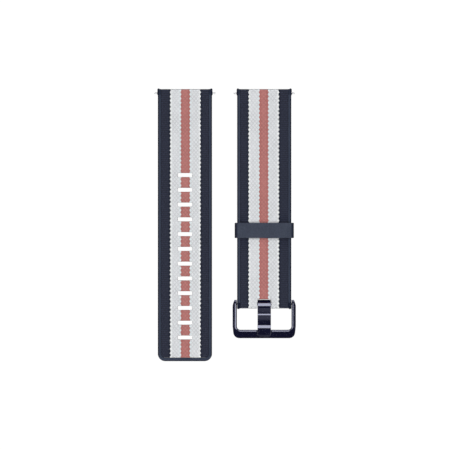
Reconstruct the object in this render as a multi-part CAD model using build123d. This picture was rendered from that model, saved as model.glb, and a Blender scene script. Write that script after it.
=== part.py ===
from build123d import *
import os

# Fitness tracker band in two halves, lying flat with the woven face up.
# X runs across the straps, Y along them with the tracker ends at +Y, and Z up.
# The origin is under the middle of the whole band. All sizes are in millimetres.

# Straps
STRAP_WIDTH = 22.0
STRAP_SPACING = 32.2
HOLE_STRAP_LENGTH = 110.5
BUCKLE_STRAP_LENGTH = 89.1
UNDERSIDE_Z = 1.6
FLOOR_THICKNESS = 1.1
WEBBING_THICKNESS = 0.7
RIM_WIDTH = 1.2
TIP_RIM = 1.3
TIP_RADIUS = 3.0
TOP_EDGE_RADIUS = 0.3
BOTTOM_EDGE_RADIUS = 0.45
INLAY_GAP = 0.02

# Slots for the tang
SLOT_COUNT = 12
SLOT_PITCH = 6.0
FIRST_SLOT = 34.9
SLOT_WIDTH = 5.9
SLOT_HEIGHT = 1.6
SLOT_RADIUS = 0.45

# Thick end that holds the quick-release pin, and its cheeks
BARREL_RADIUS = 1.6
BARREL_RAMP = 5.5
CHEEK_WIDTH = 1.0
CHEEK_LENGTH = 2.9
CHEEK_PROUD = 0.2
CHEEK_OVERHANG = 0.3
CHEEK_RADIUS = 1.2
CHEEK_EDGE_RADIUS = 0.4

# Quick-release pin
PIN_CLEARANCE = 0.05
PIN_TUBE_RADIUS = 0.75
PIN_TUBE_INNER_RADIUS = 0.55
PIN_TUBE_HALF_LENGTH = 10.7
PIN_TIP_RADIUS = 0.4
PIN_NECK_RADIUS = 0.36
PIN_TIP_REACH = 1.3
PIN_TIP_CHAMFER = 0.1
PIN_SHOULDER_RADIUS = 0.5
PIN_SHOULDER_LENGTH = 1.2
LIP_THICKNESS = 0.3
RELEASE_SLIDER_LENGTH = 3.6
RELEASE_TRAVEL = 1.3
KNOB_X = 8.2
KNOB_STEM_RADIUS = 0.28
KNOB_LENGTH = 1.4
KNOB_WIDTH = 1.2
KNOB_THICKNESS = 0.5
KNOB_CORNER_RADIUS = 0.3
KNOB_TUBE_GAP = 0.1
KNOB_ROOM = 0.45
NAIL_SCOOP_RADIUS = 2.9
NAIL_SCOOP_Y = 1.2
NAIL_SCOOP_Z = -1.6
SPRING_WIRE = 0.14

# Buckle spring bar
BAR_INSET = 1.8
BAR_Z = 1.8
BAR_BARREL_RADIUS = 1.75
BAR_BARREL_RAMP = 3.2
BAR_CHEEK_INSET = 0.05
BAR_CHEEK_HEIGHT = 3.2
BAR_TUBE_RADIUS = 0.6
BAR_TUBE_INNER_RADIUS = 0.44
BAR_TUBE_HALF_LENGTH = 10.3
BAR_TIP_RADIUS = 0.3
BAR_SHOULDER_RADIUS = 0.39
BAR_SHOULDER_LENGTH = 1.1
BAR_TIP_REACH = 11.75
BAR_TIP_CHAMFER = 0.08
BAR_SPRING_WIRE = 0.12

# Buckle frame and tang
FRAME_HALF_WIDTH = 12.85
FRAME_WINDOW_HALF_WIDTH = 11.1
FRAME_ARM_TOP = 1.7
FRAME_ARM_TAPER = 0.7
FRAME_TAPER_LENGTH = 2.2
FRAME_LENGTH = 13.9
CROSSBAR_DEPTH = 3.4
FRAME_FOOT_LENGTH = 4.2
FRAME_FOOT_TAPER = 0.6
FRAME_OUTER_RADIUS = 2.4
FRAME_INNER_RADIUS = 1.4
FRAME_EYE_RADIUS = 1.7
FRAME_ARM_HALF_HEIGHT = 1.35
CROSSBAR_TOP = 2.55
CROSSBAR_BOTTOM = 0.25
FRAME_CHAMFER = 0.6
FRAME_HOLE_DEPTH = 1.0
TANG_WIDTH = 5.44
TANG_LENGTH = 13.28
TANG_THICKNESS = 0.95
TANG_BARREL_RADIUS = 1.75
TANG_ARCH_TOP = 4.25
TANG_TIP_TOP = 3.3
TANG_TIP_LENGTH = 2.6
TANG_PLATE_START = 0.6
TANG_START_DROP = 0.1
TANG_CORNER_RADIUS = 1.0
TANG_NOTCH_GAP = 0.13
TANG_INLAY_GAP = 0.4
TANG_REST_GAP = 0.15
TANG_RECESS_MARGIN = 0.3

# Keeper
KEEPER_HALF_WIDTH = 12.0
KEEPER_WALL = 0.8
KEEPER_LENGTH = 6.2
KEEPER_FROM_END = 57.4
KEEPER_INNER_HEIGHT = 3.9
KEEPER_UNDER_GAP = 0.15
KEEPER_CORNER_RADIUS = 1.1

# Derived places
HALF_WIDTH = STRAP_WIDTH / 2
FLOOR_Z = UNDERSIDE_Z + FLOOR_THICKNESS
TOP_Z = FLOOR_Z + WEBBING_THICKNESS
END_Y = (HOLE_STRAP_LENGTH + CHEEK_OVERHANG) / 2 - CHEEK_OVERHANG
TIP_Y = END_Y - HOLE_STRAP_LENGTH
BUCKLE_END_Y = END_Y - BUCKLE_STRAP_LENGTH
PIN_Y = END_Y - BARREL_RADIUS
PIN_Z = BARREL_RADIUS
PIN_END_X = HALF_WIDTH + CHEEK_PROUD + PIN_TIP_REACH
BAR_Y = BUCKLE_END_Y + BAR_INSET
HOLE_STRAP_X = -(STRAP_SPACING + FRAME_HALF_WIDTH - PIN_END_X) / 2
BUCKLE_STRAP_X = HOLE_STRAP_X + STRAP_SPACING
KEEPER_Y = END_Y - KEEPER_FROM_END


def rod(radius, x_start, x_end, y, z):
    """Cylinder along X between two places."""
    length = x_end - x_start
    return Pos((x_start + x_end) / 2, y, z) * Cylinder(radius, length, rotation=(0, 90, 0))


def taper(radius_start, radius_end, x_start, x_end, y, z):
    """Round neck along X that grows from one radius to another."""
    neck = Cone(radius_start, radius_end, x_end - x_start, rotation=(0, 90, 0))
    return Pos((x_start + x_end) / 2, y, z) * neck


def block(x_span, y_span, z_span):
    """Box between low and high places on each axis."""
    spans = (x_span, y_span, z_span)
    sizes = [high - low for low, high in spans]
    middle = [(high + low) / 2 for low, high in spans]
    return Pos(*middle) * Box(*sizes)


def side_shape(profile, x_start, x_end):
    """Side profile, drawn with Y across and Z up, made solid between two places on X."""
    return extrude(Plane.YZ.offset(x_start) * profile, x_end - x_start)


def strap_plan(half_width, y_low, corner_radius):
    """Plan of a strap from its lower end up to the tracker end, with its lower corners rounded."""
    plan = Pos(0, (y_low + END_Y) / 2) * Rectangle(2 * half_width, END_Y - y_low)
    if corner_radius:
        plan = fillet(plan.vertices().group_by(Axis.Y)[0], corner_radius)
    return plan


def soften(solid, edges, radius):
    """Round the edges that aren't at the tracker end."""
    return fillet([edge for edge in edges if edge.center().Y < END_Y - 0.01], radius)


def strap_slab(y_low, corner_radius):
    """Elastomer slab with softened long edges."""
    plan = Pos(0, 0, UNDERSIDE_Z) * strap_plan(HALF_WIDTH, y_low, corner_radius)
    slab = extrude(plan, TOP_Z - UNDERSIDE_Z)
    slab = soften(slab, slab.edges().group_by(Axis.Z)[0], BOTTOM_EDGE_RADIUS)
    return soften(slab, slab.edges().group_by(Axis.Z)[-1], TOP_EDGE_RADIUS)


def inlay_pocket(half_width, y_low, corner_radius):
    """Room for the webbing, open at the tracker end."""
    plan = strap_plan(half_width, y_low, corner_radius)
    plan += Pos(0, END_Y) * Rectangle(2 * half_width, 2)
    return extrude(Pos(0, 0, FLOOR_Z) * plan, WEBBING_THICKNESS + 1)


def slots():
    """The row of slots in the hole strap, counted from the tracker end."""
    slot = RectangleRounded(SLOT_WIDTH, SLOT_HEIGHT, SLOT_RADIUS)
    places = [END_Y - FIRST_SLOT - SLOT_PITCH * index for index in range(SLOT_COUNT)]
    return [extrude(Pos(0, y) * slot, 2 * TOP_Z) for y in places]


def thick_end(y, z, radius, ramp_length, half_width):
    """Barrel round a bar, with a ramp under the strap that leads into it."""
    ramp = make_face(Polyline((y, z - radius), (y + ramp_length, UNDERSIDE_Z), (y + ramp_length, FLOOR_Z),
                              (y, FLOOR_Z), close=True))
    return side_shape(ramp + Pos(y, z) * Circle(radius), -half_width, half_width)


def cheeks(y_middle, z_low, z_high, outer_x):
    """Rounded cheek at each side of a thick end, with softened rims."""
    face = RectangleRounded(CHEEK_LENGTH, z_high - z_low, CHEEK_RADIUS)
    face = Pos(y_middle, (z_low + z_high) / 2) * face
    right = side_shape(face, outer_x - CHEEK_WIDTH, outer_x)
    ends = right.edges().group_by(Axis.X)
    right = fillet(ends[0] + ends[-1], CHEEK_EDGE_RADIUS)
    return [right, mirror(right, about=Plane.YZ)]


def tracker_end(slab):
    """Add the quick-release end to a slab, with its cheeks."""
    slab += thick_end(PIN_Y, PIN_Z, BARREL_RADIUS, -BARREL_RAMP, HALF_WIDTH)
    cheek_y = END_Y + CHEEK_OVERHANG - CHEEK_LENGTH / 2
    return slab + cheeks(cheek_y, 0, TOP_Z, HALF_WIDTH + CHEEK_PROUD)


def knob_notch():
    """Open notch under the barrel where a fingernail reaches the knob."""
    x_low = KNOB_X - KNOB_LENGTH / 2 - RELEASE_TRAVEL - KNOB_ROOM
    x_high = KNOB_X + KNOB_LENGTH / 2 + KNOB_ROOM
    half_width = KNOB_WIDTH / 2 + KNOB_ROOM
    knob_room = block((x_low, x_high), (PIN_Y - half_width, PIN_Y + half_width), (-1, PIN_Z))
    nail_scoop = Pos((x_low + x_high) / 2, PIN_Y + NAIL_SCOOP_Y, NAIL_SCOOP_Z) * Sphere(NAIL_SCOOP_RADIUS)
    return knob_room + nail_scoop


def pin_bore():
    """Bore for the quick-release pin, with the notch for its knob."""
    end = HALF_WIDTH + 1
    return rod(PIN_TUBE_RADIUS + PIN_CLEARANCE, -end, end, PIN_Y, PIN_Z) + knob_notch()


def hole_strap_backing():
    body = tracker_end(strap_slab(TIP_Y, TIP_RADIUS))
    body -= inlay_pocket(HALF_WIDTH - RIM_WIDTH, TIP_Y + TIP_RIM, TIP_RADIUS - RIM_WIDTH)
    body -= pin_bore()
    return body - slots()


def hole_strap_webbing():
    half_width = HALF_WIDTH - RIM_WIDTH - INLAY_GAP
    plan = strap_plan(half_width, TIP_Y + TIP_RIM + INLAY_GAP, TIP_RADIUS - RIM_WIDTH)
    return extrude(Pos(0, 0, FLOOR_Z) * plan, WEBBING_THICKNESS) - slots()


def tang_notch(back_gap):
    """Gap in the end of the buckle strap where the tang's barrel sits."""
    half_width = TANG_WIDTH / 2 + TANG_NOTCH_GAP
    back = BAR_Y + TANG_BARREL_RADIUS + back_gap
    return block((-half_width, half_width), (BUCKLE_END_Y - 1, back), (-1, TOP_Z + 1))


def buckle_strap_backing():
    body = tracker_end(strap_slab(BUCKLE_END_Y, 0))
    body += thick_end(BAR_Y, BAR_Z, BAR_BARREL_RADIUS, BAR_BARREL_RAMP, HALF_WIDTH - BAR_CHEEK_INSET)
    cheek_y = BUCKLE_END_Y - CHEEK_OVERHANG + CHEEK_LENGTH / 2
    body += cheeks(cheek_y, TOP_Z - BAR_CHEEK_HEIGHT, TOP_Z, HALF_WIDTH - BAR_CHEEK_INSET)
    body -= inlay_pocket(HALF_WIDTH - RIM_WIDTH, BUCKLE_END_Y - 1, 0)
    body -= pin_bore()
    body -= rod(BAR_TUBE_RADIUS + PIN_CLEARANCE, -HALF_WIDTH - 1, HALF_WIDTH + 1, BAR_Y, BAR_Z)
    return body - tang_notch(TANG_NOTCH_GAP)


def buckle_strap_webbing():
    plan = strap_plan(HALF_WIDTH - RIM_WIDTH - INLAY_GAP, BUCKLE_END_Y, 0)
    return extrude(Pos(0, 0, FLOOR_Z) * plan, WEBBING_THICKNESS) - tang_notch(TANG_INLAY_GAP)


def tube(outer_radius, inner_radius, lip_radius, half_length, y, z):
    """Tube along X whose ends are rolled in to a lip."""
    body = rod(outer_radius, -half_length, half_length, y, z)
    body -= rod(inner_radius, LIP_THICKNESS - half_length, half_length - LIP_THICKNESS, y, z)
    return body - rod(lip_radius, -half_length - 1, half_length + 1, y, z)


def pin_tube():
    body = tube(PIN_TUBE_RADIUS, PIN_TUBE_INNER_RADIUS, PIN_TIP_RADIUS + PIN_CLEARANCE, PIN_TUBE_HALF_LENGTH,
                PIN_Y, PIN_Z)
    gap = KNOB_STEM_RADIUS + 2 * PIN_CLEARANCE
    stem_slot = block((KNOB_X - RELEASE_TRAVEL - gap, KNOB_X + gap), (PIN_Y - gap, PIN_Y + gap), (-1, PIN_Z))
    return body - stem_slot


def pin_nose():
    """Right end of a tip: the nose that enters the tracker's lug, and the tapered neck behind it."""
    nose_start = PIN_END_X - PIN_TIP_REACH
    nose = rod(PIN_TIP_RADIUS, nose_start, PIN_END_X, PIN_Y, PIN_Z)
    nose = chamfer(nose.edges().group_by(Axis.X)[-1], PIN_TIP_CHAMFER)
    neck_start = PIN_TUBE_HALF_LENGTH - LIP_THICKNESS
    return nose + taper(PIN_NECK_RADIUS, PIN_TIP_RADIUS, neck_start, nose_start, PIN_Y, PIN_Z)


def pin_fixed_tip():
    """Tip that stays out, held behind the lip of the tube."""
    inner_end = PIN_TUBE_HALF_LENGTH - LIP_THICKNESS
    shoulder = rod(PIN_SHOULDER_RADIUS, inner_end - PIN_SHOULDER_LENGTH, inner_end, PIN_Y, PIN_Z)
    return mirror(pin_nose() + shoulder, about=Plane.YZ)


def pin_release_tip():
    """Tip on a slider, drilled across for the knob's stem."""
    inner_end = PIN_TUBE_HALF_LENGTH - LIP_THICKNESS
    body = pin_nose() + rod(PIN_SHOULDER_RADIUS, inner_end - RELEASE_SLIDER_LENGTH, inner_end, PIN_Y, PIN_Z)
    stem_hole = Cylinder(KNOB_STEM_RADIUS, 2, align=(Align.CENTER, Align.CENTER, Align.MAX))
    return body - Pos(KNOB_X, PIN_Y, PIN_Z) * stem_hole


def pin_release_knob():
    """Knob under the barrel on a stem that is pressed into the slider."""
    top = PIN_Z - PIN_TUBE_RADIUS - KNOB_TUBE_GAP
    knob = Box(KNOB_LENGTH, KNOB_WIDTH, KNOB_THICKNESS, align=(Align.CENTER, Align.CENTER, Align.MAX))
    knob = fillet(knob.edges().filter_by(Axis.Z), KNOB_CORNER_RADIUS)
    stem_length = PIN_Z - top
    stem = Cylinder(KNOB_STEM_RADIUS, stem_length, align=(Align.CENTER, Align.CENTER, Align.MIN))
    return Pos(KNOB_X, PIN_Y, top) * (knob + stem)


def spring_sleeve(outer_radius, wire, x_start, x_end, y, z):
    """The room that a coil spring fills, as a sleeve."""
    return rod(outer_radius, x_start, x_end, y, z) - rod(outer_radius - wire, x_start - 1, x_end + 1, y, z)


def pin_spring():
    inner_end = PIN_TUBE_HALF_LENGTH - LIP_THICKNESS
    x_start = PIN_SHOULDER_LENGTH - inner_end
    x_end = inner_end - RELEASE_SLIDER_LENGTH
    return spring_sleeve(PIN_SHOULDER_RADIUS, SPRING_WIRE, x_start, x_end, PIN_Y, PIN_Z)


def bar_tube():
    return tube(BAR_TUBE_RADIUS, BAR_TUBE_INNER_RADIUS, BAR_TIP_RADIUS + PIN_CLEARANCE, BAR_TUBE_HALF_LENGTH,
                BAR_Y, BAR_Z)


def bar_tip():
    """Right tip of the spring bar, with its shoulder behind the lip."""
    inner_end = BAR_TUBE_HALF_LENGTH - LIP_THICKNESS
    body = rod(BAR_TIP_RADIUS, inner_end, BAR_TIP_REACH, BAR_Y, BAR_Z)
    body = chamfer(body.edges().group_by(Axis.X)[-1], BAR_TIP_CHAMFER)
    return body + rod(BAR_SHOULDER_RADIUS, inner_end - BAR_SHOULDER_LENGTH, inner_end, BAR_Y, BAR_Z)


def bar_spring():
    end = BAR_TUBE_HALF_LENGTH - LIP_THICKNESS - BAR_SHOULDER_LENGTH
    return spring_sleeve(BAR_SHOULDER_RADIUS, BAR_SPRING_WIRE, -end, end, BAR_Y, BAR_Z)


def frame_plan():
    """Plan of the U-shaped frame, solid before its window is cut."""
    tip_x = FRAME_HALF_WIDTH - FRAME_ARM_TAPER
    top = BAR_Y + FRAME_ARM_TOP
    low = BAR_Y - FRAME_LENGTH
    full_y = top - FRAME_TAPER_LENGTH
    foot_y = low + FRAME_FOOT_LENGTH
    foot_x = FRAME_HALF_WIDTH - FRAME_FOOT_TAPER
    right = [(tip_x, top), (FRAME_HALF_WIDTH, full_y), (FRAME_HALF_WIDTH, foot_y), (foot_x, low)]
    left = [(-x, y) for x, y in reversed(right)]
    outline = Polyline(*right, *left, close=True)
    face = make_face(outline)
    return fillet(face.vertices().group_by(Axis.Y)[0], FRAME_OUTER_RADIUS)


def frame_window():
    """Plan of the window between the arms, open towards the strap."""
    low = BAR_Y - FRAME_LENGTH + CROSSBAR_DEPTH
    high = BAR_Y + 2 * FRAME_ARM_TOP
    face = Pos(0, (low + high) / 2) * Rectangle(2 * FRAME_WINDOW_HALF_WIDTH, high - low)
    return fillet(face.vertices().group_by(Axis.Y)[0], FRAME_INNER_RADIUS)


def buckle_frame():
    low = BAR_Y - FRAME_LENGTH
    arm_top = BAR_Z + FRAME_ARM_HALF_HEIGHT
    arm_bottom = BAR_Z - FRAME_ARM_HALF_HEIGHT
    side = make_face(Polyline((BAR_Y, arm_top), (low, CROSSBAR_TOP), (low, CROSSBAR_BOTTOM),
                              (BAR_Y, arm_bottom), close=True))
    side += Pos(BAR_Y, BAR_Z) * Circle(FRAME_EYE_RADIUS)
    body = extrude(frame_plan(), 3 * TOP_Z) & side_shape(side, -FRAME_HALF_WIDTH, FRAME_HALF_WIDTH)
    body -= extrude(frame_window(), 3 * TOP_Z)
    body -= extrude(Pos(0, 0, CROSSBAR_TOP - FRAME_CHAMFER) * frame_window(), 2, taper=-45)
    hole_end = FRAME_WINDOW_HALF_WIDTH + FRAME_HOLE_DEPTH
    body -= rod(BAR_TIP_RADIUS + PIN_CLEARANCE, -hole_end, hole_end, BAR_Y, BAR_Z)
    half_recess = TANG_WIDTH / 2 + TANG_RECESS_MARGIN
    recess_floor = TANG_TIP_TOP - TANG_THICKNESS - TANG_REST_GAP
    recess_end = BAR_Y - TANG_LENGTH - TANG_RECESS_MARGIN
    return body - block((-half_recess, half_recess), (recess_end, BAR_Y), (recess_floor, 3 * TOP_Z))


def tang_side():
    """Side profile of the tang: a barrel, an arched plate and a flat tip."""
    start_y = BAR_Y - TANG_PLATE_START
    bend_y = BAR_Y - TANG_LENGTH + TANG_TIP_LENGTH
    tip_y = BAR_Y - TANG_LENGTH
    arch_y = (start_y + bend_y) / 2
    start_top = BAR_Z + TANG_BARREL_RADIUS - TANG_START_DROP
    start_low = start_top - TANG_THICKNESS
    arch_low = TANG_ARCH_TOP - TANG_THICKNESS
    tip_low = TANG_TIP_TOP - TANG_THICKNESS
    top_arc = ThreePointArc((start_y, start_top), (arch_y, TANG_ARCH_TOP), (bend_y, TANG_TIP_TOP))
    tip = Polyline((bend_y, TANG_TIP_TOP), (tip_y, TANG_TIP_TOP), (tip_y, tip_low), (bend_y, tip_low))
    low_arc = ThreePointArc((bend_y, tip_low), (arch_y, arch_low), (start_y, start_low))
    plate = make_face(top_arc + tip + low_arc + Line((start_y, start_low), (start_y, start_top)))
    return plate + Pos(BAR_Y, BAR_Z) * Circle(TANG_BARREL_RADIUS)


def buckle_tang():
    half_width = TANG_WIDTH / 2
    body = side_shape(tang_side(), -half_width, half_width)
    plan = Pos(0, BAR_Y - TANG_LENGTH / 2) * Rectangle(TANG_WIDTH, TANG_LENGTH)
    plan = fillet(plan.vertices().group_by(Axis.Y)[0], TANG_CORNER_RADIUS)
    plan += Pos(0, BAR_Y) * Rectangle(TANG_WIDTH, 2 * TANG_BARREL_RADIUS)
    body &= extrude(plan, 3 * TOP_Z)
    return body - rod(BAR_TUBE_RADIUS + PIN_CLEARANCE, -half_width - 1, half_width + 1, BAR_Y, BAR_Z)


def keeper_loop():
    """Loop that is tall enough for two thicknesses of strap."""
    inner_low = UNDERSIDE_Z - KEEPER_UNDER_GAP
    middle_z = inner_low + KEEPER_INNER_HEIGHT / 2
    outer_height = KEEPER_INNER_HEIGHT + 2 * KEEPER_WALL
    outer = RectangleRounded(2 * KEEPER_HALF_WIDTH, outer_height, KEEPER_CORNER_RADIUS)
    inner_width = 2 * (KEEPER_HALF_WIDTH - KEEPER_WALL)
    inner = RectangleRounded(inner_width, KEEPER_INNER_HEIGHT, KEEPER_CORNER_RADIUS - KEEPER_WALL)
    ring = Plane.XZ.offset(-KEEPER_Y) * (Pos(0, middle_z) * (outer - inner))
    return extrude(ring, KEEPER_LENGTH / 2, both=True)


def pin_parts(strap, x):
    """The five pieces of one strap's quick-release pin."""
    parts = {
        "tube": pin_tube(),
        "fixed_tip": pin_fixed_tip(),
        "spring": pin_spring(),
        "release_tip": pin_release_tip(),
        "release_knob": pin_release_knob(),
    }
    return {f"{strap}_pin_{name}": Pos(x, 0, 0) * shape for name, shape in parts.items()}


def all_parts():
    """Every piece in its place, by node name."""
    on_hole_strap = {"hole_strap_backing": hole_strap_backing(), "hole_strap_webbing": hole_strap_webbing()}
    on_buckle_strap = {
        "buckle_strap_backing": buckle_strap_backing(),
        "buckle_strap_webbing": buckle_strap_webbing(),
        "buckle_bar_tube": bar_tube(),
        "buckle_bar_right_tip": bar_tip(),
        "buckle_bar_left_tip": mirror(bar_tip(), about=Plane.YZ),
        "buckle_bar_spring": bar_spring(),
        "buckle_frame": buckle_frame(),
        "buckle_tang": buckle_tang(),
        "keeper_loop": keeper_loop(),
    }
    parts = {name: Pos(HOLE_STRAP_X, 0, 0) * shape for name, shape in on_hole_strap.items()}
    parts |= {name: Pos(BUCKLE_STRAP_X, 0, 0) * shape for name, shape in on_buckle_strap.items()}
    parts |= pin_parts("hole_strap", HOLE_STRAP_X)
    parts |= pin_parts("buckle_strap", BUCKLE_STRAP_X)
    return parts


os.makedirs("parts", exist_ok=True)
for name, shape in all_parts().items():
    export_step(shape, f"parts/{name}.step")
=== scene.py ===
import math

import bmesh
import bpy
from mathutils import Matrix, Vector

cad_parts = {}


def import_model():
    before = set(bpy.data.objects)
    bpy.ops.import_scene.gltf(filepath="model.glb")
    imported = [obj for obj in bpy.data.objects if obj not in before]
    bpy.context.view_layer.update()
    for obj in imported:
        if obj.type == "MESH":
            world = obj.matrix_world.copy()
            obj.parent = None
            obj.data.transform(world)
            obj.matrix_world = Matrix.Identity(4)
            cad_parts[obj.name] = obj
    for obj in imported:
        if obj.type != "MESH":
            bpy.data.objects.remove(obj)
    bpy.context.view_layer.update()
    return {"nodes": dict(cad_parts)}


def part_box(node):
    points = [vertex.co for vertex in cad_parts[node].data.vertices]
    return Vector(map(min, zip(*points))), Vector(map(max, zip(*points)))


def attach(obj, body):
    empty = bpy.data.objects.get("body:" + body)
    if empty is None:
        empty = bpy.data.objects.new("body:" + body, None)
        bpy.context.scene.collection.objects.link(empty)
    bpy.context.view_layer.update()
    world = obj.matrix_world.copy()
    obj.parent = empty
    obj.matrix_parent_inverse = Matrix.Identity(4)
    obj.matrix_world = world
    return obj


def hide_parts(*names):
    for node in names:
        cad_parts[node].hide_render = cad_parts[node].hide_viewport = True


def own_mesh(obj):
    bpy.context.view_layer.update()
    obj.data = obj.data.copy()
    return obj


MM = 0.001

# Woven inlay: yarn columns run along the strap, picks cross it
WARP_PITCH = 0.72
PICK_PITCH = 0.84
YARN_SWING = 0.2
YARN_RELIEF = 0.09
WEAVE_MESH = 0.15
STRIPE_SHIFT = 0.18
SEALED_END = 0.28
INLAY_EDGE_RADIUS = 0.3

# Slots, counted from the tracker end
SLOT_COUNT = 12
SLOT_PITCH = 6.0
FIRST_SLOT = 34.9
SLOT_WIDTH = 5.9
SLOT_HEIGHT = 1.6
SLOT_RADIUS = 0.45
INLAY_TIP_RADIUS = 1.8

# Tray
STRAP_TOP = 3.4
CHEEK_LENGTH = 2.8
CHEEK_PROUD = 0.2
# painted shade: width of the darkened band along each rim's edges and across the hole strap's tip end
SHADED_EDGE_BAND = 0.42
# painted shade: dark colour put on the trays' edges, sides and cheeks and on the keeper's narrow sides
PAINTED_SHADE_COLOUR = (11, 17, 36)

# Buckle
BAR_RADIUS = 0.6
BAR_HOLE_RADIUS = 0.35
BAR_HOLE_DEPTH = 1.0
BAR_Z = 1.8
ARM_TOP = 1.7
ARM_TAPER = 0.7
TAPER_LENGTH = 2.2
WINDOW_HALF_WIDTH = 11.1
CROSSBAR_DEPTH = 3.4
FOOT_LENGTH = 4.2
FOOT_TAPER = 0.6
OUTER_CORNER = 2.4
INNER_CORNER = 1.4
ARM_HALF_HEIGHT = 1.35
CROSSBAR_TOP = 2.6
CROSSBAR_BOTTOM = 0.25
UNDER_EDGE_ROUND = 0.3
BEVEL_START = 0.43
BEVEL_END = 0.83
BEVEL_SLOPE = 27.5
CROSSBAR_BEVEL_START = 0.32
CROSSBAR_BEVEL_END = 0.83
WINDOW_EDGE_SLOPE = 45
ARM_END_SQUARENESS = 3.2
TANG_BARREL_RADIUS = 1.75
TANG_TIP = -13.28
TANG_HEEL_Z = 1.35
TANG_EDGE = 0.12
TANG_THICKNESS = 0.95
TANG_UNDERSIDE = 2.35
TANG_CORNER = 1.0
INLAY_GAP = 0.22
NOTCH_WIDTH = 5.7
BAR_INSET = 1.8
RECESS_HALF_WIDTH = 3.02
RECESS_Z = 2.2
RECESS_LIP = 0.32

# Keeper
KEEPER_WALL = 0.8
KEEPER_CORNER = 1.1
KEEPER_EDGE = 0.22

# Springs
COIL_PITCH = 0.34
PIN_WIRE = 0.14
BAR_WIRE = 0.12

WEBBING_COLOURS = [
    (0, (179, 116, 112)),
    (2, (173, 107, 102)),
    (3, (217, 223, 226)),
    (4, (217, 219, 222)),
    (8, (229, 231, 232)),
    (9, (22, 27, 43)),
    (10, (32, 36, 52)),
]
COLUMN_RANGE = 14
LAST_THIN_COLUMN = 9
# painted highlight and shade in bands that follow the picks: its depth on the pale and on the navy yarns
PALE_RIB_SHADING = 0.02
NAVY_RIB_SHADING = 0.26
FLOAT_TONES = (0.96, 1.03)
YARN_SHADES = (0.84, 1.02)
FILAMENT_TONES = (0.93, 1.05)
# painted shade in the pinholes: the heights it fades over, and how dark it gets at most
PINHOLE_HEIGHTS = (0.1, 0.42)
PINHOLE_SHADE = 0.5
MELTED_COLOUR = (112, 112, 116)
MELTED_SHARE = 0.75
FILAMENT_BUMP = 0.05

# Finishes: a base colour and its cloudier tone
TRAY_COLOURS = ((49, 56, 72), (54, 61, 77))
KEEPER_COLOURS = ((55, 61, 75), (60, 66, 80))
NAVY_FINISH = ((5, 5, 32), (8, 8, 37))
RUBBED_NAVY = (40, 40, 64)
NAVY_ROUGHNESS = 0.12
NAVY_IOR = 2.15
NAVY_REFLECTION = (0.78, 0.8, 1.0, 1)
SATIN_STEEL = (243, 243, 245)
SPRING_STEEL = (190, 188, 184)
STEEL_GRIME = (70, 66, 62)

# Studio, in metres and watts
AIR_STRENGTH = 0.035
BOX_REACH = 0.75
BOX_HEIGHT = 0.5
BOX_SIZE = (1.3, 0.4)
BOX_POWER = 6.2
PANEL_REACH = 0.29
PANEL_HEIGHT = 0.95
PANEL_SIZE = (0.6, 0.22)
PANEL_POWER = 0.12
SKY_HEIGHT = 1.5
SKY_WIDTH = 1.2
SKY_POWER = 25.5
FLOOR_REACH = 3.0
FLOOR_SHADE = 0.08
FLOOR_GLOW = 0.97

# Camera: lens and sensor in millimetres, and the width and middle of what it sees
CAMERA_LENS = 240
SENSOR_WIDTH = 36
VIEW_WIDTH = 182.7
VIEW_MIDDLE_Y = -0.1


def linear(colour):
    """Linear red, green, blue and alpha of an 8-bit screen colour."""
    parts = [c / 255 for c in colour]
    return [c / 12.92 if c <= 0.04045 else ((c + 0.055) / 1.055) ** 2.4 for c in parts] + [1.0]


def box_mm(node):
    """A CAD node's lowest and highest corners in millimetres."""
    low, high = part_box(node)
    return Vector(low) / MM, Vector(high) / MM


# ---------------------------------------------------------------- node tree helpers


def fill(tree, socket, value):
    """Give an input a number or colour, or link another node's output to it."""
    if isinstance(value, bpy.types.NodeSocket):
        tree.links.new(value, socket)
    else:
        socket.default_value = value


def calc(tree, operation, *values):
    """A Math node; the result is its output."""
    node = tree.nodes.new("ShaderNodeMath")
    node.operation = operation
    for socket, value in zip(node.inputs, values):
        fill(tree, socket, value)
    return node.outputs[0]


def remap(tree, value, low, high, new_low, new_high):
    """Carry a value from one range to another, held at the ends."""
    node = tree.nodes.new("ShaderNodeMapRange")
    for socket, number in zip(node.inputs, (value, low, high, new_low, new_high)):
        fill(tree, socket, number)
    return node.outputs[0]


def noise(tree, vector, scale, detail=3.0, roughness=0.6):
    node = tree.nodes.new("ShaderNodeTexNoise")
    fill(tree, node.inputs["Vector"], vector)
    node.inputs["Scale"].default_value = scale
    node.inputs["Detail"].default_value = detail
    node.inputs["Roughness"].default_value = roughness
    return node.outputs["Fac"]


def mix(tree, share, first, second, blend="MIX"):
    """Mix two colours."""
    node = tree.nodes.new("ShaderNodeMix")
    node.data_type = "RGBA"
    node.blend_type = blend
    fill(tree, node.inputs["Factor"], share)
    fill(tree, node.inputs["A"], first)
    fill(tree, node.inputs["B"], second)
    return node.outputs["Result"]


def combine(tree, x, y, z):
    node = tree.nodes.new("ShaderNodeCombineXYZ")
    for socket, value in zip(node.inputs, (x, y, z)):
        fill(tree, socket, value)
    return node.outputs[0]


def split(tree, vector):
    node = tree.nodes.new("ShaderNodeSeparateXYZ")
    fill(tree, node.inputs[0], vector)
    return node.outputs


def new_group(name, kind, inputs, outputs):
    """A node group with named number, vector or colour sockets, and its input and output nodes."""
    tree = bpy.data.node_groups.new(name, kind)
    for socket, socket_kind in inputs.items():
        tree.interface.new_socket(socket, in_out="INPUT", socket_type=socket_kind)
    for socket, socket_kind in outputs.items():
        tree.interface.new_socket(socket, in_out="OUTPUT", socket_type=socket_kind)
    return tree, tree.nodes.new("NodeGroupInput"), tree.nodes.new("NodeGroupOutput")


def use_group(tree, group, **values):
    """Place a shader group and fill its inputs; underscores in a name stand for spaces."""
    node = tree.nodes.new("ShaderNodeGroup")
    node.node_tree = group
    for name, value in values.items():
        fill(tree, node.inputs[name.replace("_", " ").title()], value)
    return node.outputs


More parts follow.
